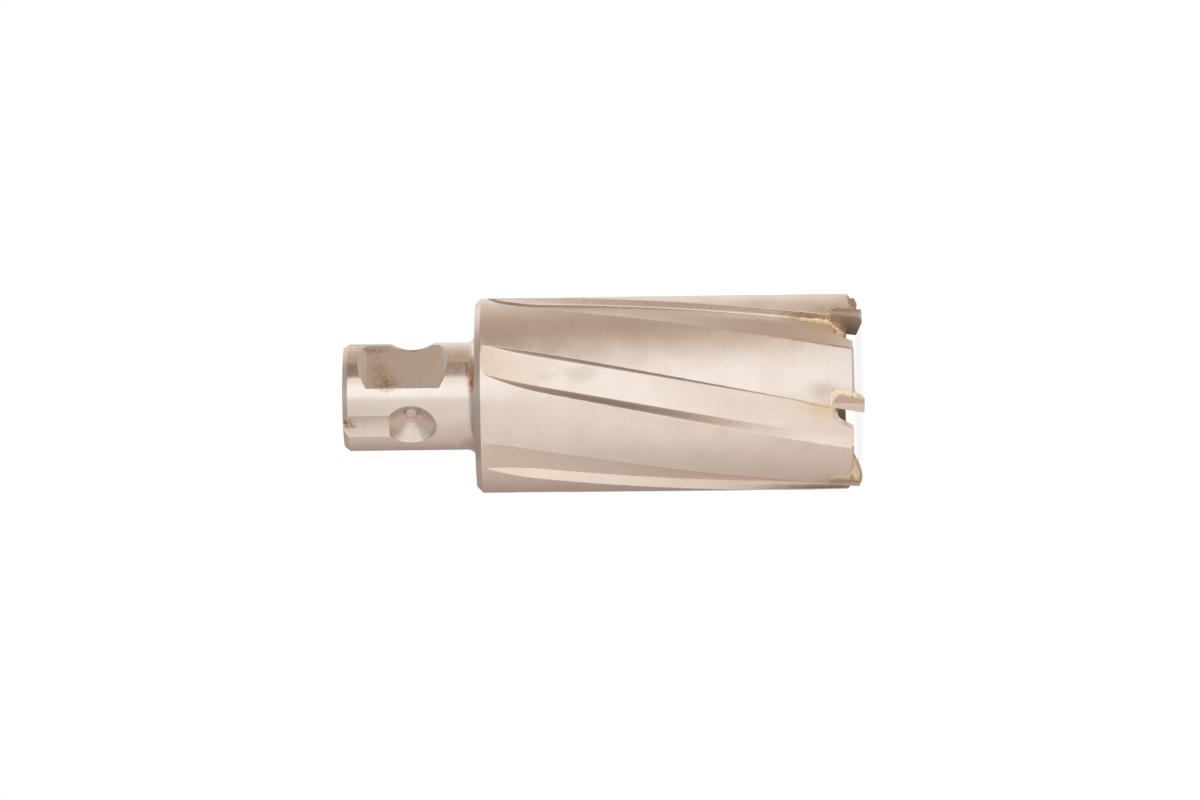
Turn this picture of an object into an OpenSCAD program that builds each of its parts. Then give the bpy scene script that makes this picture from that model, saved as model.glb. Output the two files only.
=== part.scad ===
// Annular cutter: a hollow body with helical flutes and brazed carbide tips, turned in one piece with its shank.
// It stands on its tips. The axis is Z, the origin is on the axis in the plane of the tips' points, and the
// shank points up. The first ball seat of the shank is on +X.

/* [Shank] */
// Diameter of the shank
shank_d = 19.05; // [18.6:0.05:22]
// Length of the shank, from the shoulder to its end
shank_length = 23.4; // [22.5:0.1:30]
// Length of the chamfer on the end of the shank
shank_chamfer_length = 0.9; // [0.3:0.1:2]
// Depth of the chamfer on the end of the shank
shank_chamfer_depth = 0.75; // [0.3:0.05:1.5]
// Radius of the fillet between the shank and the shoulder
neck_radius = 1.7; // [0.5:0.1:2.5]
// Diameter of the bore for the pilot pin
pilot_bore_d = 8.0; // [5:0.1:8.8]

/* [Ball seats] */
// Number of conical ball seats around the shank
seat_count = 3; // [1:1:3]
// Distance from the end of the shank to the middle of the seats
seat_from_end = 11.95; // [9:0.05:14]
// Angle between the sides of a seat
seat_angle = 82; // [60:1:90]
// Distance from the axis to the bottom of the cone
seat_bottom_radius = 5.4; // [5.2:0.1:6.5]
// Diameter of the small drilled hole at the bottom of the cone
seat_drill_d = 1.95; // [1:0.05:2.5]
// Depth of that drilled hole
seat_drill_depth = 0.6; // [0.1:0.1:0.7]
// Radius of the shallow lead-in groove from the end of the shank to a seat
groove_radius = 4.5; // [2.5:0.1:8]
// Depth of that groove
groove_depth = 0.825; // [0.3:0.025:1.2]

/* [Clamping flats] */
// Depth of the two clamping flats
flat_depth = 1.45; // [0.5:0.05:2]
// Length of a flat's floor
flat_length = 12.9; // [6:0.1:14]
// Distance from the end of the shank to a flat's floor
flat_from_end = 4.15; // [3.2:0.05:5]
// Slope of the ramps at both ends of a flat
flat_ramp_angle = 45; // [30:1:60]
// Angle between the two flats, which lie to both sides of the first ball seat
flat_spread = 90; // [80:1:120]

/* [Body] */
// Length of the body, from its front face to the shoulder
body_length = 66.2; // [60:0.1:90]
// Clearance between the tips' cutting circle and the body at its front face
body_clearance = 0.18; // [0.1:0.01:0.4]
// Back taper, by which the body's diameter is smaller at the shoulder than at the front face
body_taper = 0.28; // [0:0.02:1]
// Thickness of the wall around the cavity, at the front face
wall_thickness = 3.87; // [3.2:0.01:5]
// Chamfer around the shoulder
shoulder_chamfer = 1.05; // [0.3:0.05:2]
// Chamfer around the front face
front_chamfer = 0.45; // [0.1:0.05:0.8]
// Depth of that cavity, from the front face to its sloping end
core_depth = 54; // [40:0.5:56]
// Height of the cavity's sloping end
core_end_height = 2.6; // [0.5:0.1:4]

/* [Flutes] */
// Length over which a flute turns once around the body
flute_lead = 540; // [400:5:900]
// Depth of a flute at the front face
flute_depth = 1.55; // [0.8:0.05:1.8]
// Angle that a flute takes up at the body's surface
flute_angle = 24; // [16:0.5:32]
// Angle of the slanted trailing side of a flute
flute_flank_angle = 4; // [1:0.5:6]
// Size of the fillet at the foot of a flute's cutting side
flute_fillet = 0.35; // [0.1:0.05:0.6]
// Radius of the grinding wheel's arc at the run-out
runout_radius = 41; // [25:1:80]
// Distance from the shoulder at which the run-out begins
runout_length = 12.45; // [8:0.05:20]

/* [Carbide tips] */
// Angle from the first ball seat to the cutting face of the first tip
first_tip_angle = 21.6; // [0:0.1:60]
// Diameter that the tips cut, from which the body and its cavity follow
cut_d = 35.1; // [29:0.1:50]
// Distance that the tips stand into the cavity, so that the core they leave standing runs free
core_clearance = 0.3; // [0.1:0.05:0.6]
// Distance that the tips' points stand out of the front face
tip_protrusion = 1.75; // [1:0.05:2.5]
// Length of a tip
tip_length = 5.65; // [5.2:0.05:8]
// Thickness of a tip
tip_thickness = 2.3; // [1.5:0.05:3]
// Distance from the outer edge of a tip to its point
tip_point_offset = 1.15; // [0.5:0.05:3]
// Drop of the outer cutting edge behind the point
tip_outer_drop = 0.45; // [0.1:0.05:0.8]
// Drop of the inner cutting edge behind the point
tip_inner_drop = 0.95; // [0.3:0.05:1.4]
// Clearance angle behind the end cutting edges
tip_end_clearance = 5; // [2:0.5:12]
// Clearance angle of the narrow land on the outside of a tip
tip_land_clearance = 4; // [3:0.5:6]
// Clearance angle of the facet behind that land
tip_side_clearance = 12; // [6:0.5:20]
// Width of the land at the front of a tip
tip_land_front = 1.6; // [0.5:0.05:2]
// Width of the land at the rear of a tip
tip_land_rear = 0.6; // [0.2:0.05:1.5]
// Radius of a tip's inner rear corner
tip_corner_radius = 3.2; // [1:0.1:3.6]
// Chamfer on the rear edge of a tip's back
tip_back_chamfer = 0.7; // [0.2:0.05:1]

/* [Chip gullets] */
// Depth of the gullet in front of a tip, from the front face to where it meets the flute's floor
gullet_depth = 3.35; // [2:0.05:3.8]
// Slope of the gullet's bottom, which is deeper on the outside than at the core
gullet_slope = 28; // [0:1:35]
// Width of the gullet
gullet_width = 2.75; // [2:0.05:4]
// Radius of the gullet's bottom
gullet_radius = 1.3; // [0.8:0.05:1.6]
// Angle between the gullet's far side and the front face
gullet_flank_angle = 66; // [30:1:70]

/* [Braze] */
// Thickness of the braze layer between a tip and its pocket
braze_gap = 0.12; // [0.05:0.01:0.2]
// Size of the braze fillet behind a tip on the front face
braze_fillet = 0.85; // [0.3:0.05:1.2]

/* [Hidden] */

// One flute and one tip for each of the tips named above
tip_count = 6;

steel = "#d5c5b8";
carbide = "#7d6c60";
brass_braze = "#d9b877";
round_facets = 96;
overrun = 1;

shank_r = shank_d / 2;
cut_r = cut_d / 2;
body_front_r = cut_r - body_clearance;
body_shoulder_r = body_front_r - body_taper / 2;
core_r = body_front_r - wall_thickness;
slug_r = core_r - core_clearance;
pilot_bore_r = pilot_bore_d / 2;

front_z = tip_protrusion;
shoulder_z = front_z + body_length;
shank_end_z = shoulder_z + shank_length;
overall_length = shank_end_z;

tip_pitch = 360 / tip_count;
turn_per_length = 360 / flute_lead;
wall_mid_r = (body_front_r + core_r) / 2;
tip_tilt = atan(2 * PI * wall_mid_r / flute_lead);

// The flute's section, drawn with its cutting side on the X axis
flute_floor_r = body_front_r - flute_depth;
flute_mid_angle = -flute_angle / 2;
flute_floor_end = flute_flank_angle - flute_angle;
flute_open_r = body_front_r + overrun + flute_depth;
flute_fillet_rise = flute_fillet * (1 - cos(45));

function polar(radius, angle) = [radius * cos(angle), radius * sin(angle)];
function turned(p, angle) = [p[0] * cos(angle) - p[1] * sin(angle), p[0] * sin(angle) + p[1] * cos(angle)];
function along(p, q, reach) = p + (q - p) * reach;

flute_flank_foot = polar(flute_floor_r, flute_floor_end);
flute_flank_top = polar(body_front_r, -flute_angle);
flute_section = [
    [flute_open_r, 0],
    [flute_floor_r + flute_fillet, 0],
    [flute_floor_r + flute_fillet_rise, -flute_fillet_rise],
    [flute_floor_r, -flute_fillet],
    flute_flank_foot,
    along(flute_flank_foot, flute_flank_top, (flute_open_r - flute_floor_r) / flute_depth),
];

// Where the flute is cut: an even helix, and then a run-out that follows the wheel's arc
runout_z = shoulder_z - runout_length;
flute_top_z = shoulder_z + overrun;
helix_slices = 16;
runout_slices = 10;
flute_levels = concat(
    [for (i = [0:helix_slices - 1]) -overrun + (runout_z + overrun) * i / helix_slices],
    [for (i = [0:runout_slices]) runout_z + (flute_top_z - runout_z) * i / runout_slices]);

function runout_rise(z) =
    z < runout_z ? 0 : runout_radius - sqrt(pow(runout_radius, 2) - pow(z - runout_z, 2));
function flute_ring(z) =
    let (lift = polar(runout_rise(z), flute_mid_angle), turn = z * turn_per_length)
    [for (p = flute_section) let (q = turned(p + lift, turn)) [q[0], q[1], z]];

// The conical seat, from its bottom to beyond the shank's surface
seat_z = shank_end_z - seat_from_end;
seat_drill_r = seat_drill_d / 2;
seat_open_r = shank_r + overrun;
seat_mouth_r = seat_drill_r + (seat_open_r - seat_bottom_radius) * tan(seat_angle / 2);
groove_axis_r = shank_r - groove_depth + groove_radius;

flat_r = shank_r - flat_depth;
flat_top_z = shank_end_z - flat_from_end;
flat_bottom_z = flat_top_z - flat_length;
flat_ramp_run = (flat_depth + overrun) / tan(flat_ramp_angle);

tip_point_r = cut_r - tip_point_offset;
tip_outer_slope = atan(tip_outer_drop / tip_point_offset);
tip_inner_slope = atan(tip_inner_drop / (tip_point_r - slug_r));
tip_land_slope = atan((tip_land_front - tip_land_rear) / tip_length);

gullet_steps = 8;

// The fillet of braze ends a chamfer's width inside both edges of the front face
fillet_inner_r = core_r + front_chamfer;
fillet_outer_r = body_front_r - 2 * front_chamfer;

// Places its children at the cutting face of a tip: X runs outwards, Y into the tip and Z along its rear
module at_tip(number) {
    rotate([0, 0, first_tip_angle + (number - 1) * tip_pitch])
        rotate([-tip_tilt, 0, 0])
            children();
}

// Draws a shape of radius and height, and gives it a thickness behind the cutting face, and a reach before it
module behind_cutting_face(thickness, reach = 0) {
    rotate([90, 0, 0])
        translate([0, 0, -thickness])
            linear_extrude(thickness + reach)
                children();
}

// Half-spaces that trim a tip, as large as the cut diameter
module space_below() {
    translate([-cut_r, -cut_r, -cut_d])
        cube(cut_d);
}

module space_outside() {
    translate([0, -cut_r, -cut_r])
        cube(cut_d);
}

module space_behind() {
    translate([-cut_r, 0, -cut_r])
        cube(cut_d);
}

// The shank, the shoulder and the slightly tapered body, as they are turned from one bar
module turned_blank() {
    rotate_extrude($fn = round_facets) {
        polygon([
            [0, front_z],
            [body_front_r - front_chamfer, front_z],
            [body_front_r, front_z + front_chamfer],
            [body_shoulder_r, shoulder_z - shoulder_chamfer],
            [body_shoulder_r - shoulder_chamfer, shoulder_z],
            [shank_r, shoulder_z],
            [shank_r, shank_end_z - shank_chamfer_length],
            [shank_r - shank_chamfer_depth, shank_end_z],
            [0, shank_end_z],
        ]);
        difference() {
            translate([shank_r - overrun, shoulder_z - overrun])
                square([neck_radius + overrun, neck_radius + overrun]);
            translate([shank_r + neck_radius, shoulder_z + neck_radius])
                circle(neck_radius, $fn = round_facets);
        }
    }
}

// The cavity around the core, with its sloping end, and the pilot pin's bore behind it
module core_cavity() {
    translate([0, 0, -overrun])
        cylinder(h = front_z + core_depth + overrun, r = core_r, $fn = round_facets);
    translate([0, 0, front_z + core_depth])
        cylinder(h = core_end_height, r1 = core_r, r2 = pilot_bore_r, $fn = round_facets);
    translate([0, 0, front_z])
        cylinder(h = overall_length, r = pilot_bore_r, $fn = round_facets);
}

// One right-hand flute as a loft through its turned sections
module flute(number) {
    corners = len(flute_section);
    levels = len(flute_levels);
    rings = [for (z = flute_levels) each flute_ring(z)];
    walls = [for (i = [0:levels - 2], j = [0:corners - 1])
        let (a = i * corners + j, b = i * corners + (j + 1) % corners)
        each [[a, a + corners, b], [b, a + corners, b + corners]]];
    first_ring = [for (j = [0:corners - 1]) j];
    last_ring = [for (j = [0:corners - 1]) levels * corners - 1 - j];
    rotate([0, 0, first_tip_angle + (number - 1) * tip_pitch])
        polyhedron(rings, concat(walls, [first_ring, last_ring]));
}

// The rear corner of a tip or of its pocket, with a rounding that the growth keeps concentric
module rear_corner(growth) {
    difference() {
        translate([slug_r - overrun, tip_length - tip_corner_radius])
            square([tip_corner_radius + overrun, tip_corner_radius + overrun]);
        translate([slug_r + tip_corner_radius, tip_length - tip_corner_radius])
            circle(tip_corner_radius + growth, $fn = round_facets);
    }
}

// The pocket that a tip is brazed into
module pocket() {
    behind_cutting_face(tip_thickness + braze_gap)
        difference() {
            translate([slug_r - braze_gap, -overrun])
                square([cut_r - slug_r + braze_gap + overrun, tip_length + braze_gap + overrun]);
            rear_corner(braze_gap);
        }
}

// The rounded gullet through the wall in front of a tip, drawn on the flute's floor and cut along its slope.
// Its far side slopes out to the front face.
module gullet() {
    centre = [gullet_width - gullet_radius, gullet_depth - gullet_radius];
    bottom_curve = [for (i = [0:gullet_steps])
        centre + polar(gullet_radius, 90 - gullet_flank_angle * i / gullet_steps)];
    side = bottom_curve[gullet_steps];
    reach = cut_r - slug_r + overrun;
    translate([flute_floor_r, 0, front_z])
        rotate([0, -gullet_slope, 0])
            mirror([0, 1, 0])
                rotate([90, 0, 90])
                    translate([0, 0, -reach])
                        linear_extrude(reach + reach)
                            polygon(concat(
                                [[-braze_gap, -reach], [-braze_gap, gullet_depth]],
                                bottom_curve,
                                [[side[0] + (side[1] + reach) / tan(gullet_flank_angle), -reach]]));
}

// A conical seat for a locking ball, its drilled bottom and its lead-in groove
module ball_seat(number) {
    rotate([0, 0, (number - 1) * 360 / seat_count]) {
        translate([seat_bottom_radius, 0, seat_z])
            rotate([0, 90, 0])
                cylinder(h = seat_open_r - seat_bottom_radius, r1 = seat_drill_r, r2 = seat_mouth_r,
                         $fn = round_facets);
        translate([seat_bottom_radius - seat_drill_depth, 0, seat_z])
            rotate([0, 90, 0])
                cylinder(h = seat_drill_depth + overrun, r = seat_drill_r, $fn = round_facets);
        translate([groove_axis_r, 0, seat_z])
            cylinder(h = seat_from_end + overrun, r = groove_radius, $fn = round_facets);
    }
}

// A milled flat with a ramp at each end, cut across the shank
module clamping_flat(side) {
    rotate([0, 0, side * flat_spread / 2])
        rotate([90, 0, 0])
            translate([0, 0, -shank_r])
                linear_extrude(shank_d)
                    polygon([
                        [flat_r, flat_bottom_z],
                        [shank_r + overrun, flat_bottom_z - flat_ramp_run],
                        [shank_r + overrun, flat_top_z + flat_ramp_run],
                        [flat_r, flat_top_z],
                    ]);
}

// The one-piece steel body with its shank
module cutter_body() {
    color(steel)
        difference() {
            turned_blank();
            core_cavity();
            for (number = [1:tip_count]) {
                flute(number);
                at_tip(number) {
                    pocket();
                    gullet();
                }
            }
            for (number = [1:seat_count])
                ball_seat(number);
            for (side = [-1, 1])
                clamping_flat(side);
        }
}

// A ground carbide tip in the place that at_tip gives it, or with a reach, the room that it takes up there
module ground_tip(reach = 0) {
    difference() {
        behind_cutting_face(tip_thickness, reach)
            difference() {
                translate([slug_r, -overrun])
                    square([cut_r - slug_r, tip_length + overrun]);
                rear_corner(0);
            }
        translate([tip_point_r, 0, 0])
            rotate([0, tip_inner_slope, 0])
                rotate([tip_end_clearance, 0, 0])
                    space_below();
        translate([tip_point_r, 0, 0])
            rotate([0, -tip_outer_slope, 0])
                rotate([tip_end_clearance, 0, 0])
                    space_below();
        translate([cut_r, 0, 0])
            rotate([0, 0, tip_land_clearance])
                space_outside();
        translate([cut_r - tip_land_front * tan(tip_land_clearance), tip_land_front, 0])
            rotate([tip_land_slope, 0, 0])
                rotate([0, 0, tip_side_clearance])
                    space_outside();
        translate([0, tip_thickness, tip_length - tip_back_chamfer])
            rotate([45, 0, 0])
                space_behind();
    }
}

module carbide_tip(number) {
    color(carbide)
        at_tip(number)
            ground_tip();
}

// The wall of the body around the cavity, without its cuts
module body_wall() {
    difference() {
        turned_blank();
        translate([0, 0, -overrun])
            cylinder(h = front_z + core_depth + overrun, r = core_r, $fn = round_facets);
    }
}

// The braze fillet behind a tip, in front of the body's face and clear of its chamfer
module braze_fillet_strip() {
    face_z = (front_z + tip_thickness * sin(tip_tilt)) / cos(tip_tilt);
    rotate([90, 0, 90])
        translate([0, 0, fillet_inner_r])
            linear_extrude(fillet_outer_r - fillet_inner_r)
                polygon([
                    [tip_thickness, face_z - braze_fillet],
                    [tip_thickness + braze_fillet, face_z],
                    [tip_thickness + braze_fillet, face_z + braze_fillet],
                    [tip_thickness, face_z + braze_fillet],
                ]);
}

// The braze between a tip and its pocket, and its fillet behind the tip on the front face
module braze_joint(number) {
    color(brass_braze) {
        difference() {
            intersection() {
                body_wall();
                at_tip(number)
                    pocket();
            }
            at_tip(number)
                ground_tip(overrun);
        }
        intersection() {
            cylinder(h = front_z, r = cut_r, $fn = round_facets);
            at_tip(number)
                braze_fillet_strip();
        }
    }
}

cutter_body();
carbide_tip(1);  // carbide_tip_1
carbide_tip(2);  // carbide_tip_2
carbide_tip(3);  // carbide_tip_3
carbide_tip(4);  // carbide_tip_4
carbide_tip(5);  // carbide_tip_5
carbide_tip(6);  // carbide_tip_6
braze_joint(1);  // braze_joint_1
braze_joint(2);  // braze_joint_2
braze_joint(3);  // braze_joint_3
braze_joint(4);  // braze_joint_4
braze_joint(5);  // braze_joint_5
braze_joint(6);  // braze_joint_6
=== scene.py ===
# The looks of an annular cutter: satin-ground steel with helical flutes and a shank, and brazed carbide tips.
# The cutter stands on its tips, with its axis on Z. Lengths are written in millimetres and turned to metres
from math import atan, atan2, cos, degrees, hypot, pi, radians, sin, sqrt, tan
from types import SimpleNamespace

import bmesh
import bpy
import numpy as np
from mathutils import Matrix, Vector, noise


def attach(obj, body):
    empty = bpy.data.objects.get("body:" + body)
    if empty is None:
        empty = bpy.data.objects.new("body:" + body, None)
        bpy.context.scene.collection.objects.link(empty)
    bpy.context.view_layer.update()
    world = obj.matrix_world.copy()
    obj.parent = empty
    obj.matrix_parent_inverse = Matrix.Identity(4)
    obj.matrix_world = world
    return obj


MM = 0.001

# The cutter's real sizes in millimetres and degrees, as the solids have them
FRONT_Z = 1.75
SHOULDER_Z = 67.95
SHOULDER_CHAMFER = 1.05
FRONT_CHAMFER = 0.42
SHANK_R = 9.525
NECK_RADIUS = 1.7
BODY_FRONT_R = 17.37
BODY_SHOULDER_R = 17.23
CORE_R = 13.5
FLUTE_FLOOR_R = 15.82
FLUTE_FILLET = 0.35
FLUTE_LEAD = 540.0
TIP_COUNT = 6
PITCH = 360.0 / TIP_COUNT
FIRST_TIP_ANGLE = 21.6
TIP_TILT = degrees(atan(2 * pi * (BODY_FRONT_R + CORE_R) / 2 / FLUTE_LEAD))
TIP_LENGTH = 5.65
TIP_THICKNESS = 2.3
TIP_LAND_FRONT = 1.6
TIP_LAND_REAR = 0.6
TIP_INNER_R = 13.2
TIP_OUTER_R = 17.55
BRAZE_GAP = 0.12
# The roof of a tip's end: its ridge from the outer edge, the slopes to both sides, and the drop of its back
TIP_POINT_OFFSET = 1.15
TIP_OUTER_SLOPE = 0.45 / 1.15
TIP_INNER_SLOPE = 0.95 / 3.2
TIP_BACK_DROP = 0.2
SEAT_Z = 79.4
SEAT_ANGLE = 82.0
SEAT_BOTTOM_R = 5.4
SEAT_DRILL_R = 0.975

# How the photograph was taken: the direction to the camera around the cutter's axis, and the picture's size
CAMERA_AZIMUTH = -86.0
CAMERA_ROLL = 0.68
CAMERA_DISTANCE = 817.0
CAMERA_HEIGHT = 46.05
CAMERA_SIDE_STEP = -0.985
LENS = 138.0


def linear(code):
    """The linear colour of an sRGB hex value."""
    shares = [int(code[i:i + 2], 16) / 255 for i in (1, 3, 5)]
    return tuple(s / 12.92 if s <= 0.04045 else ((s + 0.055) / 1.055) ** 2.4 for s in shares) + (1.0,)


def add(tree, kind, inputs=None, **settings):
    """Adds a shader node, sets it up, and fills its inputs with values or with other nodes' outputs."""
    node = tree.nodes.new("ShaderNode" + kind)
    for name, value in settings.items():
        setattr(node, name, value)
    for name, value in (inputs or {}).items():
        if isinstance(value, bpy.types.NodeSocket):
            tree.links.new(value, node.inputs[name])
        else:
            node.inputs[name].default_value = value
    return node


# The ground, the light and the camera

def make_camera():
    """Looks across the standing cutter, rolled over so that the shank is at the left of the picture."""
    to_camera = Vector((cos(radians(CAMERA_AZIMUTH)), sin(radians(CAMERA_AZIMUTH)), 0))
    picture_up = Vector((-to_camera.y, to_camera.x, 0))
    down = Vector((0, 0, -1))
    roll = radians(CAMERA_ROLL)
    right = down * cos(roll) - picture_up * sin(roll)
    up = down * sin(roll) + picture_up * cos(roll)
    target = Vector((0, 0, CAMERA_HEIGHT * MM)) + picture_up * CAMERA_SIDE_STEP * MM
    data = bpy.data.cameras.new("camera")
    data.lens = LENS
    data.clip_start = 0.05
    camera = bpy.data.objects.new("camera", data)
    bpy.context.collection.objects.link(camera)
    turn = Matrix((right, up, to_camera)).transposed().to_4x4()
    camera.matrix_world = Matrix.Translation(target + to_camera * CAMERA_DISTANCE * MM) @ turn
    bpy.context.scene.camera = camera


def make_world():
    """A white room, which looks white to the eye and in the metal, and lights dull surfaces a little less."""
    world = bpy.data.worlds.new("white_room")
    bpy.context.scene.world = world
    world.use_nodes = True
    tree = world.node_tree
    tree.nodes.clear()
    path = add(tree, "LightPath").outputs
    seen = add(tree, "Math", {0: path["Is Camera Ray"], 1: path["Is Glossy Ray"]}, operation="MAXIMUM")
    seen = add(tree, "Math", {0: seen.outputs[0], 1: path["Is Transmission Ray"]}, operation="MAXIMUM")
    light = add(tree, "Background", {"Color": linear("#fff6ee"), "Strength": 0.8})
    white = add(tree, "Background", {"Color": linear("#ffffff"), "Strength": 1.0})
    mix = add(tree, "MixShader", {"Fac": seen.outputs[0], 1: light.outputs[0], 2: white.outputs[0]})
    add(tree, "OutputWorld", {"Surface": mix.outputs[0]})


# What turned steel mirrors around the cutter: the angle from the camera's side towards the picture's top, and
# the colour of the studio's cloths there, beside the teeth and beside the shank
STUDIO = [
    (-180, "#9a877b", "#95847a"), (-140, "#a59185", "#ac9a90"), (-105, "#c2b4ab", "#c4b7af"),
    (-75, "#cdc1b8", "#cec3bb"), (-45, "#ece2da", "#d9d0c8"), (-20, "#f9f0e9", "#d8d0ca"),
    (-7, "#f8f0ea", "#ded6cf"), (3, "#fffaf6", "#fffcf9"), (20, "#fffcfa", "#fffdfb"),
    (34, "#fbf6f2", "#ebe7e4"), (44, "#f1e8e1", "#e8e0d9"), (58, "#ddd0c6", "#dccfc5"),
    (76, "#b3a292", "#baa797"), (95, "#ae9b8b", "#b7a292"), (108, "#bcac9f", "#c3b3a5"),
    (130, "#d8ccc4", "#d8ccc4"), (150, "#efe6de", "#f1e8e0"), (162, "#ece3db", "#ece3db"),
    (172, "#c2b4aa", "#b8aaa0"),
]
STUDIO_FOOT_Z = 15.0
STUDIO_TOP_Z = 100.0
STUDIO_R = 420.0
STUDIO_HEIGHT = 500.0
WALL_STRENGTH = 1.07
CEILING_STRENGTH = 0.66
# A white sheet under the cutter, and how bright it glows to the camera and in the metal
SHEET_HALF = 600.0
SHEET_TO_CAMERA = 0.9
SHEET_IN_METAL = 0.8
# The dark card beside the shank: its distance, its lower and upper edge, and the angles that it spans
CARD_R = 300.0
CARD_Z = (74.0, 300.0)
CARD_ANGLES = (42, 77)


def studio_colours(tree):
    """The colour of the studio's cloths around the cutter, from the direction and the height."""
    place = add(tree, "TexCoord").outputs["Object"]
    facing = add(tree, "VectorRotate", {"Vector": place, "Angle": radians(-CAMERA_AZIMUTH)},
                 rotation_type="Z_AXIS").outputs[0]
    axes = add(tree, "SeparateXYZ", {0: facing})
    turn = add(tree, "Math", {0: axes.outputs["Y"], 1: axes.outputs["X"]}, operation="ARCTAN2").outputs[0]
    share = add(tree, "MapRange", {"Value": turn, "From Min": -pi, "From Max": pi}).outputs[0]
    colours = []
    for row in (1, 2):
        ramp = add(tree, "ValToRGB", {"Fac": share})
        stops = ramp.color_ramp.elements
        stops.remove(stops[-1])
        stops[0].position = 0.0
        stops[0].color = linear(STUDIO[0][row])
        for stop in STUDIO[1:] + [(180,) + STUDIO[0][1:]]:
            stops.new((stop[0] + 180) / 360).color = linear(stop[row])
        colours.append(ramp.outputs[0])
    rise = add(tree, "MapRange", {"Value": axes.outputs["Z"], "From Min": STUDIO_FOOT_Z * MM,
                                  "From Max": STUDIO_TOP_Z * MM}).outputs[0]
    return add(tree, "Mix", {"Factor": rise, 6: colours[0], 7: colours[1]}, data_type="RGBA").outputs[2]


def make_floor():
    """A white sheet, which keeps the cutter's soft shadow, and which metal sees in the studio's colours."""
    half = SHEET_HALF * MM
    corners = [(-half, -half, 0), (half, -half, 0), (half, half, 0), (-half, half, 0)]
    mesh = bpy.data.meshes.new("floor")
    mesh.from_pydata(corners, [], [(0, 1, 2, 3)])
    floor = bpy.data.objects.new("floor", mesh)
    bpy.context.collection.objects.link(floor)
    material = bpy.data.materials.new("white_paper")
    material.use_nodes = True
    tree = material.node_tree
    tree.nodes.clear()
    # It is lit from behind, so it reads white to the camera, and a little less so in the metal
    path = add(tree, "LightPath").outputs
    in_metal = add(tree, "Math", {0: path["Is Glossy Ray"], 1: SHEET_IN_METAL},
                   operation="MULTIPLY").outputs[0]
    strength = add(tree, "Math", {0: path["Is Camera Ray"], 1: SHEET_TO_CAMERA, 2: in_metal},
                   operation="MULTIPLY_ADD").outputs[0]
    paper = add(tree, "BsdfDiffuse", {"Color": linear("#98928c")})
    tint = add(tree, "Mix", {"Factor": path["Is Camera Ray"], 6: studio_colours(tree), 7: linear("#ffffff")},
               data_type="RGBA").outputs[2]
    glow = add(tree, "Emission", {"Color": tint, "Strength": strength})
    both = add(tree, "AddShader", {0: paper.outputs[0], 1: glow.outputs[0]})
    add(tree, "OutputMaterial", {"Surface": both.outputs[0]})
    mesh.materials.append(material)


def studio_cloth(name, rings, faces):
    """A cloth of the studio, which lights the metal and shows in it, but isn't in the picture itself."""
    mesh = bpy.data.meshes.new(name)
    mesh.from_pydata(rings, [], faces)
    cloth = bpy.data.objects.new(name, mesh)
    bpy.context.collection.objects.link(cloth)
    cloth.visible_camera = False
    cloth.visible_shadow = False
    material = bpy.data.materials.new(name)
    material.use_nodes = True
    material.node_tree.nodes.clear()
    mesh.materials.append(material)
    return material.node_tree


def make_studio():
    """Pale cloths round the cutter and over it, and a dark card beside its shank."""
    radius, height, steps = STUDIO_R * MM, STUDIO_HEIGHT * MM, 96
    angles = [2 * pi * i / steps for i in range(steps)]
    rings = [(radius * cos(a), radius * sin(a), z) for z in (0.0, height) for a in angles]
    tree = studio_cloth("studio_wall", rings,
                        [(i, (i + 1) % steps, steps + (i + 1) % steps, steps + i) for i in range(steps)])
    glow = add(tree, "Emission", {"Color": studio_colours(tree), "Strength": WALL_STRENGTH})
    add(tree, "OutputMaterial", {"Surface": glow.outputs[0]})

    tree = studio_cloth("studio_ceiling", [(radius * cos(a), radius * sin(a), height) for a in angles],
                        [tuple(range(steps))])
    glow = add(tree, "Emission", {"Color": studio_colours(tree), "Strength": CEILING_STRENGTH})
    add(tree, "OutputMaterial", {"Surface": glow.outputs[0]})

    parts = 12
    first, last = CARD_ANGLES
    angles = [radians(CAMERA_AZIMUTH + first + (last - first) * i / parts) for i in range(parts + 1)]
    rings = [(CARD_R * MM * cos(a), CARD_R * MM * sin(a), z * MM) for a in angles for z in CARD_Z]
    tree = studio_cloth("dark_card", rings, [(2 * i, 2 * i + 2, 2 * i + 3, 2 * i + 1) for i in range(parts)])
    glow = add(tree, "Emission", {"Color": linear("#917c6b"), "Strength": 1.0})
    add(tree, "OutputMaterial", {"Surface": glow.outputs[0]})


# The metal

# Faces that meet at less than this angle in degrees are shaded as one curved surface: on the steel, in the
# fillets at the feet of the cutting sides, and on the tips, whose facets differ by a few degrees only
BODY_SMOOTH_ANGLE = 28.0
ROOT_SMOOTH_ANGLE = 50.0
TIP_SMOOTH_ANGLE = 6.0


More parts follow.
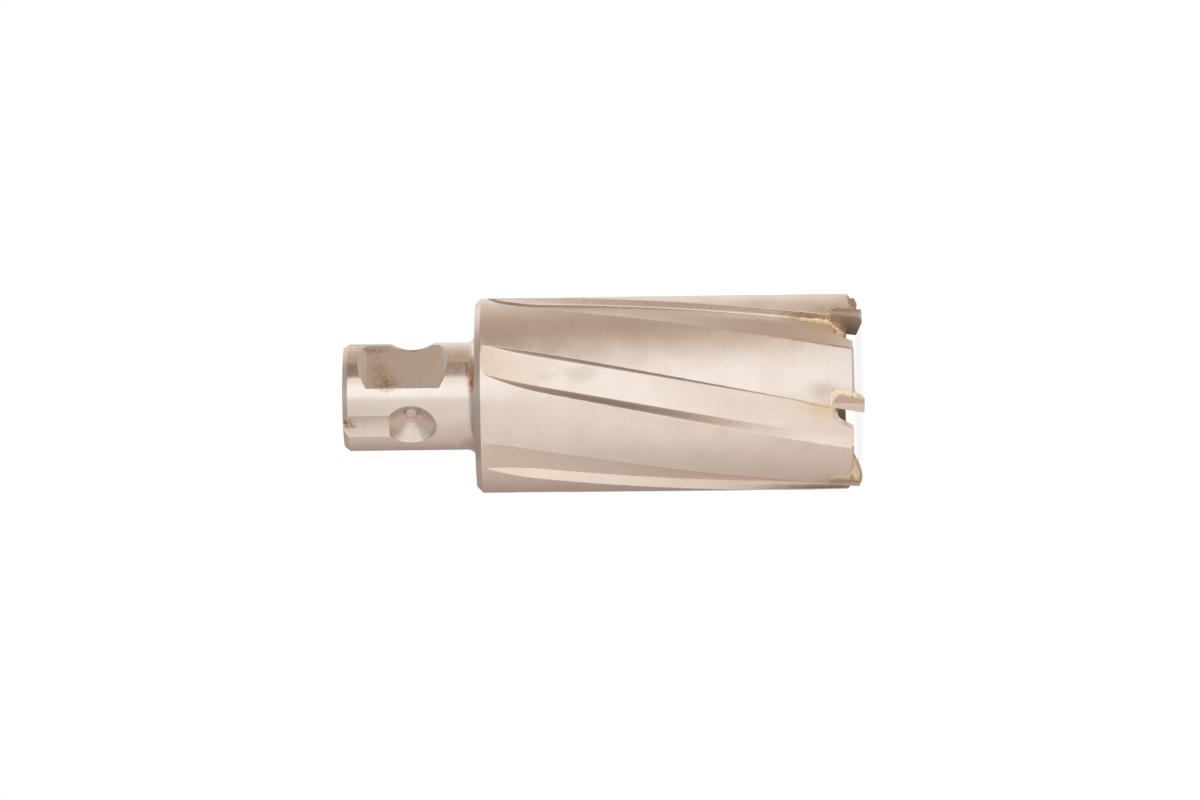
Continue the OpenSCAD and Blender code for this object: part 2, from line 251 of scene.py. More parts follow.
def smooth_flutes(mesh, sharpest):
    """Gives the faceted curved surfaces smooth shading up to an angle in degrees, and moves nothing."""
    normals = np.zeros(len(mesh.loops) * 3)
    mesh.corner_normals.foreach_get("vector", normals)
    normals = normals.reshape(-1, 3)
    corner = np.zeros(len(mesh.loops), int)
    mesh.loops.foreach_get("vertex_index", corner)
    places = np.zeros(len(mesh.vertices) * 3)
    mesh.vertices.foreach_get("co", places)
    places = places.reshape(-1, 3)[corner] / MM
    # The larger face counts for more, so that a narrow fillet bends the light and the broad faces stay even
    weights = np.zeros(len(mesh.loops))
    for face in mesh.polygons:
        weights[list(face.loop_indices)] = face.area
    meetings = {}
    for i, place in enumerate(np.round(places / 0.0005).astype(int)):
        meetings.setdefault(tuple(place), []).append(i)
    smooth = normals.copy()
    for members in meetings.values():
        x, y, z = places[members[0]]
        # At the foot of a cutting side the fillet is narrow, so its faces meet at a larger angle
        past_side = (degrees(atan2(y, x)) - z * 360.0 / FLUTE_LEAD - FIRST_TIP_ANGLE + 5.0) % PITCH
        at_floor = abs(hypot(x, y) - FLUTE_FLOOR_R) < 0.6 and z < SHOULDER_Z - 0.1
        at_root = abs(past_side - 5.0) < 2.5 and at_floor
        limit = cos(radians(ROOT_SMOOTH_ANGLE if at_root else sharpest))
        block = normals[members]
        total = ((block @ block.T > limit) * weights[members][None, :]) @ block
        size = np.linalg.norm(total, axis=1)
        for i, direction, length in zip(members, total, size):
            if length > 1e-12:
                smooth[i] = direction / length
    mesh.polygons.foreach_set("use_smooth", [True] * len(mesh.polygons))
    mesh.normals_split_custom_set([tuple(n) for n in smooth])


def around_axis(tree):
    """The place, its angle around the axis in degrees, and its height and radius in millimetres."""
    place = add(tree, "TexCoord").outputs["Object"]
    axes = add(tree, "SeparateXYZ", {0: place})
    turn = add(tree, "Math", {0: axes.outputs["Y"], 1: axes.outputs["X"]}, operation="ARCTAN2").outputs[0]
    turn = add(tree, "Math", {0: turn}, operation="DEGREES").outputs[0]
    height = add(tree, "Math", {0: axes.outputs["Z"], 1: 1 / MM}, operation="MULTIPLY").outputs[0]
    flat = add(tree, "CombineXYZ", {"X": axes.outputs["X"], "Y": axes.outputs["Y"]}).outputs[0]
    length = add(tree, "VectorMath", {0: flat}, operation="LENGTH").outputs["Value"]
    radius = add(tree, "Math", {0: length, 1: 1 / MM}, operation="MULTIPLY").outputs[0]
    return place, turn, height, radius


def along_flutes(tree, place, height):
    """The cutter untwisted: the place, its angle around the axis, and that from the nearest cutting side.

    That last angle is negative in the flute and positive behind the tip."""
    untwist = add(tree, "Math", {0: height, 1: -2 * pi / FLUTE_LEAD}, operation="MULTIPLY").outputs[0]
    straight = add(tree, "VectorRotate", {"Vector": place, "Angle": untwist},
                   rotation_type="Z_AXIS").outputs[0]
    flat = add(tree, "SeparateXYZ", {0: straight})
    phase = add(tree, "Math", {0: flat.outputs["Y"], 1: flat.outputs["X"]}, operation="ARCTAN2").outputs[0]
    untwisted = add(tree, "Math", {0: phase}, operation="DEGREES").outputs[0]
    phase = add(tree, "Math", {0: untwisted, 1: PITCH / 2 - FIRST_TIP_ANGLE}, operation="ADD").outputs[0]
    phase = add(tree, "Math", {0: phase, 1: PITCH}, operation="FLOORED_MODULO").outputs[0]
    phase = add(tree, "Math", {0: phase, 1: -PITCH / 2}, operation="ADD").outputs[0]
    return straight, untwisted, phase


def stain(tree, turn, height, grain, angle, level, half_angle, half_height, speckle):
    """A mask of a stain around an angle in degrees and a height in millimetres, and how speckled it is."""
    across = add(tree, "Math", {0: turn, 1: -angle}, operation="ADD").outputs[0]
    across = add(tree, "Math", {0: across, 1: 1 / half_angle}, operation="MULTIPLY").outputs[0]
    along = add(tree, "Math", {0: height, 1: -level}, operation="ADD").outputs[0]
    along = add(tree, "Math", {0: along, 1: 1 / half_height}, operation="MULTIPLY").outputs[0]
    spot = add(tree, "CombineXYZ", {"X": across, "Y": along}).outputs[0]
    distance = add(tree, "VectorMath", {0: spot}, operation="LENGTH").outputs["Value"]
    ragged = add(tree, "Math", {0: grain, 1: speckle, 2: distance}, operation="MULTIPLY_ADD").outputs[0]
    soft = add(tree, "MapRange", {"Value": ragged, "From Min": 1.0 + speckle / 2, "From Max": speckle / 2},
               interpolation_type="SMOOTHSTEP").outputs[0]
    holes = add(tree, "MapRange", {"Value": grain, "From Min": 0.62, "From Max": 0.42,
                                   "To Min": 1.0 - min(speckle, 1.0)}).outputs[0]
    return add(tree, "Math", {0: soft, 1: holes}, operation="MULTIPLY").outputs[0]


# Marks on the steel: angle around the axis, height, half of the size each way, colour, strength, raggedness.
# Angles are in degrees and lengths in millimetres. These are on the shank, and stay off its end and shoulder
SHANK_MARKS = [
    (-116.0, 90.8, 11.0, 1.3, "#a3622a", 1.0, 0.8),      # rust on the shank's end, in the lead-in groove
    (-119.0, 90.0, 11.0, 1.6, "#c79a62", 0.7, 1.0),      # its paler fringe
    (-67.0, 68.6, 34.0, 1.0, "#b8702a", 1.0, 0.4),       # rust in the fillet behind the shoulder
    (-44.0, 88.3, 26.0, 1.5, "#a58a6c", 0.12, 0.2),      # tarnish on the near flat's front ramp
    (-57.0, 70.9, 10.0, 1.6, "#8f7664", 0.55, 0.2),      # a dark rub mark beside the fillet
    (-148.0, 69.1, 18.0, 2.2, "#a07a58", 0.5, 0.3),      # grime in the fillet
    (-60.0, 84.4, 28.0, 3.6, "#b8946a", 0.28, 0.15),     # tarnish on the near flat
    (-70.0, 83.6, 14.0, 3.2, "#bd8844", 0.8, 0.7),       # its darker spots
    (-45.0, 85.2, 26.0, 2.4, "#bda17a", 0.6, 0.9),       # and further up on it
    (-20.0, 86.0, 7.0, 4.2, "#b0936e", 0.7, 0.4),        # tarnish along the flat's far edge
]

# Those on the body
BODY_MARKS = [
    (-71.7, 49.2, 9.0, 5.4, "#c4b0a0", 0.25, 0.3),       # a smudge on the floor of the near flute
    (-74.0, 55.5, 5.0, 2.6, "#cbb8a8", 0.18, 0.3),       # another one
    (-84.5, 7.4, 7.0, 4.0, "#b3a598", 0.22, 0.1),        # smoke from the torch beside the near pocket
]

# Those in single flutes, whose angles follow the flutes' twist
FLUTE_MARKS = [
    (-169.0, 6.0, 13.0, 17.0, "#5f493e", 0.8, 0.1),      # smoke from the torch on the lower flute's floor
    (177.8, 5.0, 4.0, 20.0, "#6e463a", 0.8, 0.1),        # painted shade on its far side, along the edge of the land
    (-38.4, 42.0, 1.4, 34.0, "#f6e8dc", 0.7, 0.1),       # a painted highlight along the upper flute's cutting side
    (-38.4, 10.0, 1.2, 6.0, "#b58a58", 0.7, 0.3),        # straw tarnish on it, behind the tip
    (-98.4, 38.0, 0.9, 46.0, "#8f6c60", 0.6, 0.1),       # painted shade on the near flute's cutting side
    (-120.6, 44.0, 3.0, 27.0, "#94786a", 0.6, 0.1),      # the same painted shade on its far side
]


# A cut's surface lies this much below the turned one, in millimetres
CUT_MARGIN = 0.06
# The sizes of the steel's patterns in millimetres. The grinding lines, with their length around the axis and
# along the flutes, are drawn coarser than the real ones so that they show
LINE_SPACING = 0.25
TURNED_LINE_LENGTH = 9.0
FLUTE_LINE_LENGTH = 14.0
# Clouds of reflection, the grain of tarnish, and the rings that the drill left in the ball seats
CLOUD_SIZE = 5.0
TARNISH_GRAIN = 0.7
RING_SPACING = 0.3


def steel_places(tree):
    """Where a point of the steel lies, as the finishes need it, with masks of the body and its cuts."""
    place, turn, height, radius = around_axis(tree)
    straight, untwisted, phase = along_flutes(tree, place, height)
    on_body = add(tree, "Math", {0: height, 1: SHOULDER_Z - 0.05}, operation="LESS_THAN").outputs[0]
    # On the shoulder's chamfer the turned surface lies deeper
    past_edge = add(tree, "Math", {0: height, 1: -(SHOULDER_Z - SHOULDER_CHAMFER)},
                    operation="ADD").outputs[0]
    past_edge = add(tree, "Math", {0: past_edge, 1: 0.0}, operation="MAXIMUM").outputs[0]
    depth = add(tree, "Math", {0: radius, 1: past_edge}, operation="ADD").outputs[0]
    sunk = add(tree, "Math", {0: depth, 1: BODY_SHOULDER_R - CUT_MARGIN}, operation="LESS_THAN").outputs[0]
    sunk = add(tree, "Math", {0: sunk, 1: on_body}, operation="MULTIPLY").outputs[0]
    in_flute = add(tree, "Math", {0: phase, 1: 1.2}, operation="LESS_THAN").outputs[0]
    in_flute = add(tree, "Math", {0: in_flute, 1: sunk}, operation="MULTIPLY").outputs[0]
    clouds = add(tree, "TexNoise", {"Vector": place, "Scale": 1 / (CLOUD_SIZE * MM),
                                    "Detail": 3.0}).outputs[0]
    grain = add(tree, "TexNoise", {"Vector": place, "Scale": 1 / (TARNISH_GRAIN * MM),
                                   "Detail": 4.0}).outputs[0]
    return SimpleNamespace(place=place, turn=turn, height=height, radius=radius, straight=straight,
                           untwisted=untwisted, phase=phase, on_body=on_body, sunk=sunk, in_flute=in_flute,
                           clouds=clouds, grain=grain)


def grinding_lines(tree, at):
    """Lines around the axis on the turned faces, and along the flutes on theirs."""
    fine = 1 / (LINE_SPACING * MM)
    around = 1 / (TURNED_LINE_LENGTH * MM)
    across = add(tree, "VectorMath", {0: at.place, 1: (around, around, fine)},
                 operation="MULTIPLY").outputs[0]
    along = add(tree, "VectorMath", {0: at.straight, 1: (fine, fine, 1 / (FLUTE_LINE_LENGTH * MM))},
                operation="MULTIPLY").outputs[0]
    lines = add(tree, "Mix", {"Factor": at.in_flute, 4: across, 5: along}, data_type="VECTOR").outputs[1]
    return add(tree, "TexNoise", {"Vector": lines, "Scale": 1.0, "Detail": 2.0}).outputs[0]


def ground_colour(tree, at, lines):
    """The warm white of clean steel, a little darker in the lines and yellower where a flute runs out."""
    clean = add(tree, "Mix", {"Factor": at.clouds, 6: linear("#faf4ef"), 7: linear("#ede3db")},
                data_type="RGBA").outputs[2]
    share = add(tree, "MapRange", {"Value": lines, "From Min": 0.3, "From Max": 0.7,
                                   "To Max": 0.09}).outputs[0]
    colour = add(tree, "Mix", {"Factor": share, 6: clean, 7: linear("#c9b3a2")}, data_type="RGBA").outputs[2]
    run_out = add(tree, "MapRange", {"Value": at.height, "From Min": 46.0, "From Max": 64.0, "To Min": 0.05,
                                     "To Max": 0.2}).outputs[0]
    yellow = add(tree, "Math", {0: at.in_flute, 1: run_out}, operation="MULTIPLY").outputs[0]
    return add(tree, "Mix", {"Factor": yellow, 6: colour, 7: linear("#f3dcbc")}, data_type="RGBA").outputs[2]


def pocket_films(tree, at, colour):
    """Torch tarnish behind each pocket, pale braze film on its rim, and straw-coloured film in the flute."""
    smoke = stain(tree, at.phase, at.height, at.grain, 4.5, 5.0, 11.5, 6.0, 0.2)
    smoke = add(tree, "Math", {0: smoke, 1: 0.3}, operation="MULTIPLY").outputs[0]
    colour = add(tree, "Mix", {"Factor": smoke, 6: colour, 7: linear("#a99684")}, data_type="RGBA").outputs[2]
    halo = stain(tree, at.phase, at.height, at.grain, 4.5, 3.6, 7.6, 4.4, 0.1)
    halo = add(tree, "Math", {0: halo, 1: 0.75}, operation="MULTIPLY").outputs[0]
    colour = add(tree, "Mix", {"Factor": halo, 6: colour, 7: linear("#f7e8cf")}, data_type="RGBA").outputs[2]
    film = stain(tree, at.phase, at.height, at.grain, -3.0, 6.6, 9.5, 6.5, 0.25)
    film = add(tree, "Math", {0: film, 1: at.in_flute}, operation="MULTIPLY").outputs[0]
    return add(tree, "Mix", {"Factor": film, 6: colour, 7: linear("#efdcb6")}, data_type="RGBA").outputs[2]


def shade_on_cutting_sides(tree, at, colour):
    """Painted shade on the flutes' cutting sides, which are drawn darker down to the fillet at their foot."""
    side = add(tree, "Math", {0: at.phase}, operation="ABSOLUTE").outputs[0]
    side = add(tree, "MapRange", {"Value": side, "From Min": 1.0, "From Max": 0.6}).outputs[0]
    side = add(tree, "Math", {0: side, 1: at.sunk}, operation="MULTIPLY").outputs[0]
    fillet_top = FLUTE_FLOOR_R + FLUTE_FILLET
    above = add(tree, "MapRange", {"Value": at.radius, "From Min": fillet_top,
                                   "From Max": fillet_top + 0.15}).outputs[0]
    side = add(tree, "Math", {0: side, 1: above}, operation="MULTIPLY").outputs[0]
    side = add(tree, "Math", {0: side, 1: 0.4}, operation="MULTIPLY").outputs[0]
    # Painted shade: a darker brown is mixed into the cutting sides
    return add(tree, "Mix", {"Factor": side, 6: colour, 7: linear("#a38b80")}, data_type="RGBA").outputs[2]


def drilled_seats(tree, at, colour):
    """Rings around each ball seat's own axis, on a colour painted darker than the shank as shade in the
    hollow, and a mask of the seats' cones.
    """
    side = add(tree, "Math", {0: at.turn, 1: 60.0}, operation="ADD").outputs[0]
    side = add(tree, "Math", {0: side, 1: 120.0}, operation="FLOORED_MODULO").outputs[0]
    side = add(tree, "Math", {0: side, 1: -60.0}, operation="ADD").outputs[0]
    side = add(tree, "Math", {0: side}, operation="RADIANS").outputs[0]
    inward = add(tree, "Math", {0: side}, operation="COSINE").outputs[0]
    inward = add(tree, "Math", {0: inward, 1: at.radius}, operation="MULTIPLY").outputs[0]
    side = add(tree, "Math", {0: side}, operation="SINE").outputs[0]
    side = add(tree, "Math", {0: side, 1: at.radius}, operation="MULTIPLY").outputs[0]
    rise = add(tree, "Math", {0: at.height, 1: -SEAT_Z}, operation="ADD").outputs[0]
    from_seat = add(tree, "CombineXYZ", {"X": side, "Y": rise}).outputs[0]
    from_seat = add(tree, "VectorMath", {0: from_seat}, operation="LENGTH").outputs["Value"]
    # The cone's own radius at that depth
    slope = tan(radians(SEAT_ANGLE / 2))
    cone = add(tree, "Math", {0: inward, 1: slope, 2: SEAT_DRILL_R - SEAT_BOTTOM_R * slope},
               operation="MULTIPLY_ADD").outputs[0]
    off_cone = add(tree, "Math", {0: from_seat, 1: cone}, operation="SUBTRACT").outputs[0]
    off_cone = add(tree, "Math", {0: off_cone}, operation="ABSOLUTE").outputs[0]
    in_seat = add(tree, "Math", {0: off_cone, 1: CUT_MARGIN}, operation="LESS_THAN").outputs[0]
    ring_place = add(tree, "Math", {0: from_seat, 1: 1 / RING_SPACING}, operation="MULTIPLY").outputs[0]
    rings = add(tree, "TexNoise", {"W": ring_place, "Scale": 1.0, "Detail": 1.0},
                noise_dimensions="1D").outputs[0]
    # The drill's rings, on colours painted darker than the shank as shade in the seat's hollow
    drill_rings_and_shade = add(tree, "Mix", {"Factor": rings, 6: linear("#f6ede6"), 7: linear("#d2c6bd")},
                  data_type="RGBA").outputs[2]
    colour = add(tree, "Mix", {"Factor": in_seat, 6: colour, 7: drill_rings_and_shade}, data_type="RGBA").outputs[2]
    return colour, in_seat


def flux_oxide_and_painted_darks(tree, at, colour):
    """Burnt flux and painted shade in the gullets, the cavity brown from heat treatment, and a painted dark
    reflection on the front chamfer.
    """
    # Burnt flux, together with painted shade deep in each gullet's hollow
    deep = add(tree, "Math", {0: at.radius, 1: FLUTE_FLOOR_R - 0.1}, operation="LESS_THAN").outputs[0]
    gullet = stain(tree, at.phase, at.height, at.grain, 0.0, 1.5, 18.0, 4.9, 0.1)
    gullet = add(tree, "MapRange", {"Value": gullet, "From Min": 0.1, "From Max": 0.24,
                                    "To Max": 0.92}).outputs[0]
    flux_and_shade = add(tree, "Math", {0: deep, 1: gullet}, operation="MULTIPLY").outputs[0]
    # The flux and the painted shade are strong at every second tip only
    other = add(tree, "Math", {0: at.untwisted, 1: PITCH / 2 - FIRST_TIP_ANGLE}, operation="ADD").outputs[0]
    other = add(tree, "Math", {0: other, 1: 2 * PITCH}, operation="FLOORED_MODULO").outputs[0]
    other = add(tree, "MapRange", {"Value": other, "From Min": PITCH - 0.1, "From Max": PITCH, "To Min": 1.0,
                                   "To Max": 0.25}).outputs[0]
    flux_and_shade = add(tree, "Math", {0: flux_and_shade, 1: other}, operation="MULTIPLY").outputs[0]
    colour = add(tree, "Mix", {"Factor": flux_and_shade, 6: colour, 7: linear("#674733")}, data_type="RGBA").outputs[2]
    cavity = add(tree, "Math", {0: at.radius, 1: CORE_R + 0.05}, operation="LESS_THAN").outputs[0]
    cavity = add(tree, "Math", {0: cavity, 1: at.on_body}, operation="MULTIPLY").outputs[0]
    cavity = add(tree, "Math", {0: cavity, 1: 0.85}, operation="MULTIPLY").outputs[0]
    colour = add(tree, "Mix", {"Factor": cavity, 6: colour, 7: linear("#8f6a54")},
                 data_type="RGBA").outputs[2]
    # Painted reflection: the front chamfer is tinted darker, as though it mirrored something dark
    front = add(tree, "Math", {0: at.height, 1: FRONT_Z + FRONT_CHAMFER}, operation="LESS_THAN").outputs[0]
    outer = add(tree, "Math", {0: at.radius, 1: BODY_FRONT_R - FRONT_CHAMFER},
                operation="GREATER_THAN").outputs[0]
    chamfer = add(tree, "Math", {0: front, 1: outer}, operation="MULTIPLY").outputs[0]
    chamfer = add(tree, "Math", {0: chamfer, 1: 0.6}, operation="MULTIPLY").outputs[0]
    return add(tree, "Mix", {"Factor": chamfer, 6: colour, 7: linear("#b09084")}, data_type="RGBA").outputs[2]


def rust_tarnish_and_painted_light(tree, at, colour):
    """The single marks on the shank, the body and the flutes, which are rust and tarnish, with painted shade
    and a painted highlight in the flutes, and a mask of them all.
    """
    tarnish = None
    on_rim = add(tree, "Math", {0: at.radius, 1: SHANK_R, 2: NECK_RADIUS}, operation="COMPARE").outputs[0]
    placed = [(at.turn, on_rim, mark) for mark in SHANK_MARKS]
    placed += [(at.turn, at.on_body, mark) for mark in BODY_MARKS]
    placed += [(at.untwisted, at.sunk, mark) for mark in FLUTE_MARKS]
    for around, part, (angle, level, half_angle, half_height, code, strength, speckle) in placed:
        mask = stain(tree, around, at.height, at.grain, angle, level, half_angle, half_height, speckle)
        mask = add(tree, "Math", {0: mask, 1: strength}, operation="MULTIPLY").outputs[0]
        mask = add(tree, "Math", {0: mask, 1: part}, operation="MULTIPLY").outputs[0]
        colour = add(tree, "Mix", {"Factor": mask, 6: colour, 7: linear(code)}, data_type="RGBA").outputs[2]
        # The mask gathers the real stains and the painted shade and highlight marks alike
        if tarnish is None:
            tarnish = mask
        else:
            tarnish = add(tree, "Math", {0: tarnish, 1: mask}, operation="MAXIMUM").outputs[0]
    return colour, tarnish


def steel_roughness(tree, at, in_seat, tarnish):
    """Satin where turned, brighter on the shank and at the flutes' feet, duller where milled, where tarnished,
    and under the painted shade and highlight marks.
    """
    rough = add(tree, "MapRange", {"Value": at.clouds, "From Min": 0.3, "From Max": 0.7, "To Min": 0.24,
                                   "To Max": 0.3}).outputs[0]
    on_shank = add(tree, "Math", {0: at.height, 1: SHOULDER_Z}, operation="GREATER_THAN").outputs[0]
    rough = add(tree, "Math", {0: on_shank, 1: -0.08, 2: rough}, operation="MULTIPLY_ADD").outputs[0]
    hollow = add(tree, "Math", {0: at.radius, 1: SHANK_R - CUT_MARGIN}, operation="LESS_THAN").outputs[0]
    milled = add(tree, "Math", {0: on_shank, 1: hollow}, operation="MULTIPLY").outputs[0]
    milled = add(tree, "Math", {0: in_seat, 1: -0.6, 2: milled},
                 operation="MULTIPLY_ADD", use_clamp=True).outputs[0]
    rough = add(tree, "Math", {0: milled, 1: 0.2, 2: rough}, operation="MULTIPLY_ADD").outputs[0]
    at_root = add(tree, "Math", {0: at.phase, 1: -0.8, 2: 0.9}, operation="COMPARE").outputs[0]
    at_root = add(tree, "Math", {0: at_root, 1: at.in_flute}, operation="MULTIPLY").outputs[0]
    rough = add(tree, "Math", {0: at_root, 1: -0.14, 2: rough}, operation="MULTIPLY_ADD").outputs[0]
    return add(tree, "Math", {0: tarnish, 1: 0.25, 2: rough}, operation="MULTIPLY_ADD").outputs[0]


def steel_material():
    """Hardened tool steel, turned and ground."""
    # Grinding leaves a satin shine that is drawn out across its lines, and brazing leaves straw-coloured film
    # and smoke around the pockets
    material = bpy.data.materials.new("ground_tool_steel")
    material.use_nodes = True
    tree = material.node_tree
    tree.nodes.clear()
    at = steel_places(tree)
    lines = grinding_lines(tree, at)
    colour = ground_colour(tree, at, lines)
    colour = pocket_films(tree, at, colour)
    colour = shade_on_cutting_sides(tree, at, colour)
    colour, in_seat = drilled_seats(tree, at, colour)
    colour = flux_oxide_and_painted_darks(tree, at, colour)
    colour, tarnish = rust_tarnish_and_painted_light(tree, at, colour)
    rough = steel_roughness(tree, at, in_seat, tarnish)
    # Rust and soot lie on the metal and hide its shine, and the painted shade and highlight marks in the same
    # mask hide it too
    bare = add(tree, "Math", {0: tarnish, 1: -0.6, 2: 1.0}, operation="MULTIPLY_ADD").outputs[0]
    edge = add(tree, "Bevel", {"Radius": 0.18 * MM}, samples=8).outputs[0]
    bump = add(tree, "Bump", {"Height": lines, "Distance": 0.001 * MM, "Strength": 0.5,
                              "Normal": edge}).outputs[0]
    bsdf = add(tree, "BsdfPrincipled", {
        "Base Color": colour, "Metallic": bare, "Roughness": rough, "Normal": bump})
    add(tree, "OutputMaterial", {"Surface": bsdf.outputs[0]})
    return material


# The grains of the sintered carbide in millimetres, drawn coarser than the real ones so that they show, and
# the spots of braze on it
CARBIDE_GRAIN = 0.2
SPATTER_SIZE = 1.2


def carbide_material():
    """Tungsten carbide, pressed and sintered from powder, then ground on the outside."""
    # Sintering leaves the cutting face brown-grey, grainy and dull, and grinding makes the outside brighter
    material = bpy.data.materials.new("ground_tungsten_carbide")
    material.use_nodes = True
    tree = material.node_tree
    tree.nodes.clear()
    place, _, height, radius = around_axis(tree)
    surface = add(tree, "NewGeometry").outputs["True Normal"]
    outwards = add(tree, "VectorMath", {0: place, 1: (1.0, 1.0, 0.0)}, operation="MULTIPLY").outputs[0]
    outwards = add(tree, "VectorMath", {0: outwards}, operation="NORMALIZE").outputs[0]
    grain = add(tree, "TexNoise", {"Vector": place, "Scale": 1 / (CARBIDE_GRAIN * MM),
                                   "Detail": 3.0}).outputs[0]
    clouds = add(tree, "TexNoise", {"Vector": place, "Scale": 1 / (SPATTER_SIZE * MM),
                                    "Detail": 3.0}).outputs[0]
    dull = add(tree, "Mix", {"Factor": grain, 6: linear("#cfbfb2"), 7: linear("#ad9b8c")},
               data_type="RGBA").outputs[2]
    # Painted shade: the facet behind the land is coloured darker than the land
    _, _, phase = along_flutes(tree, place, height)
    land = add(tree, "Math", {0: height, 1: (TIP_LAND_REAR - TIP_LAND_FRONT) / TIP_LENGTH, 2: TIP_LAND_FRONT},
               operation="MULTIPLY_ADD").outputs[0]
    behind = add(tree, "Math", {0: phase, 1: radians(BODY_FRONT_R)}, operation="MULTIPLY").outputs[0]
    behind = add(tree, "Math", {0: behind, 1: land}, operation="GREATER_THAN").outputs[0]
    ground = add(tree, "Mix", {"Factor": behind, 6: linear("#dccec3"), 7: linear("#c6b2a5")},
                 data_type="RGBA").outputs[2]
    # Only the cutting face is as it was sintered, grainy and dull
    sideways = add(tree, "VectorMath", {0: outwards, 1: (0.0, 0.0, -1.0)},
                   operation="CROSS_PRODUCT").outputs[0]
    facing = add(tree, "VectorMath", {0: surface, 1: sideways}, operation="DOT_PRODUCT").outputs["Value"]
    on_face = add(tree, "MapRange", {"Value": facing, "From Min": -0.7, "From Max": -0.85}).outputs[0]
    colour = add(tree, "Mix", {"Factor": on_face, 6: ground, 7: dull}, data_type="RGBA").outputs[2]
    # A film of braze stays on their backs
    on_back = add(tree, "MapRange", {"Value": facing, "From Min": 0.7, "From Max": 0.85,
                                     "To Max": 0.85}).outputs[0]
    colour = add(tree, "Mix", {"Factor": on_back, 6: colour, 7: linear("#f0dab6")},
                 data_type="RGBA").outputs[2]
    # Braze that ran onto the cutting face beside its rounded rear corner
    inwards = add(tree, "MapRange", {"Value": radius, "From Min": 16.9, "From Max": 14.6}).outputs[0]
    rear = add(tree, "MapRange", {"Value": height, "From Min": 2.0, "From Max": 3.8}).outputs[0]
    corner = add(tree, "Math", {0: inwards, 1: rear}, operation="MULTIPLY").outputs[0]
    spots = add(tree, "Math", {0: clouds, 1: 0.9, 2: corner}, operation="MULTIPLY_ADD").outputs[0]
    spots = add(tree, "MapRange", {"Value": spots, "From Min": 0.86, "From Max": 1.25}).outputs[0]
    spots = add(tree, "Math", {0: spots, 1: on_face}, operation="MULTIPLY").outputs[0]
    colour = add(tree, "Mix", {"Factor": spots, 6: colour, 7: linear("#ead3aa")}, data_type="RGBA").outputs[2]
    rough = add(tree, "MapRange", {"Value": on_face, "To Min": 0.34, "To Max": 0.46}).outputs[0]
    edge = add(tree, "Bevel", {"Radius": 0.07 * MM}, samples=6).outputs[0]
    bump = add(tree, "Bump", {"Height": grain, "Distance": 0.01 * MM, "Strength": 0.5,
                              "Normal": edge}).outputs[0]
    bsdf = add(tree, "BsdfPrincipled", {
        "Base Color": colour, "Metallic": 1.0, "Roughness": rough, "Normal": bump})
    add(tree, "OutputMaterial", {"Surface": bsdf.outputs[0]})
    return material


# The spots of flux and the ripples of the frozen braze, in millimetres
FLUX_SPOT = 0.7
BRAZE_RIPPLE = 0.3


def braze_material():
    """Silver brass braze that flowed and froze."""
    # It froze with a glossy straw-gold skin in soft ripples, and the flux left dull brown spots on it
    material = bpy.data.materials.new("silver_brass_braze")
    material.use_nodes = True
    tree = material.node_tree
    tree.nodes.clear()
    place = add(tree, "TexCoord").outputs["Object"]
    flux = add(tree, "TexNoise", {"Vector": place, "Scale": 1 / (FLUX_SPOT * MM), "Detail": 4.0}).outputs[0]
    ripple = add(tree, "TexNoise", {"Vector": place, "Scale": 1 / (BRAZE_RIPPLE * MM),
                                    "Detail": 2.0}).outputs[0]
    spots = add(tree, "MapRange", {"Value": flux, "From Min": 0.5, "From Max": 0.72,
                                   "To Max": 0.8}).outputs[0]
    colour = add(tree, "Mix", {"Factor": spots, 6: linear("#f7e9d3"), 7: linear("#d2b388")},
                 data_type="RGBA").outputs[2]
    rough = add(tree, "MapRange", {"Value": flux, "From Min": 0.4, "From Max": 0.7, "To Min": 0.16,
                                   "To Max": 0.42}).outputs[0]
    bump = add(tree, "Bump", {"Height": ripple, "Distance": 0.004 * MM, "Strength": 0.5}).outputs[0]
    bsdf = add(tree, "BsdfPrincipled", {
        "Base Color": colour, "Metallic": 1.0, "Roughness": rough, "Normal": bump})
    add(tree, "OutputMaterial", {"Surface": bsdf.outputs[0]})
    return material


# The braze that ran out of the joints

def tip_frame(number):
    """The turn from a tip's own frame to the cutter: X outwards, Y behind the cutting face, Z to the rear."""
    turn = radians(FIRST_TIP_ANGLE + (number - 1) * PITCH)
    return Matrix.Rotation(turn, 3, "Z") @ Matrix.Rotation(-radians(TIP_TILT), 3, "X")


def body_r(z):
    """The body's radius at a height, which its back taper makes smaller towards the shoulder."""
    return BODY_FRONT_R + (BODY_SHOULDER_R - BODY_FRONT_R) * (z - FRONT_Z) / (SHOULDER_Z - FRONT_Z)


def wavering(step, number, size):
    """An even, repeatable wavering of a bead along its length, as molten braze freezes."""
    return 1.0 + size * noise.noise(Vector((step * 3.1, number * 7.7, 0.5)))


def on_outside(number, across, along, lift):
    """A point on the body's outside, from its place in the tip's frame, lifted off the surface."""
    tilt = radians(TIP_TILT)
    side = across * cos(tilt) + along * sin(tilt)
    z = -across * sin(tilt) + along * cos(tilt)
    r = body_r(z) + lift - max(0.0, FRONT_Z + FRONT_CHAMFER - z)
    turn = Matrix.Rotation(radians(FIRST_TIP_ANGLE + (number - 1) * PITCH), 3, "Z")
    return turn @ Vector((sqrt(max(r * r - side * side, 0.0)), side, z)) * MM


def join_rings(bm, rings):
    """A closed skin through rings of points, with a cap at both ends."""
    skins = [[bm.verts.new(p) for p in ring] for ring in rings]
    count = len(skins[0])
    for lower, upper in zip(skins, skins[1:]):
        for j in range(count):
            bm.faces.new((lower[j], lower[(j + 1) % count], upper[(j + 1) % count], upper[j]))
    bm.faces.new(list(reversed(skins[0])))
    bm.faces.new(skins[-1])


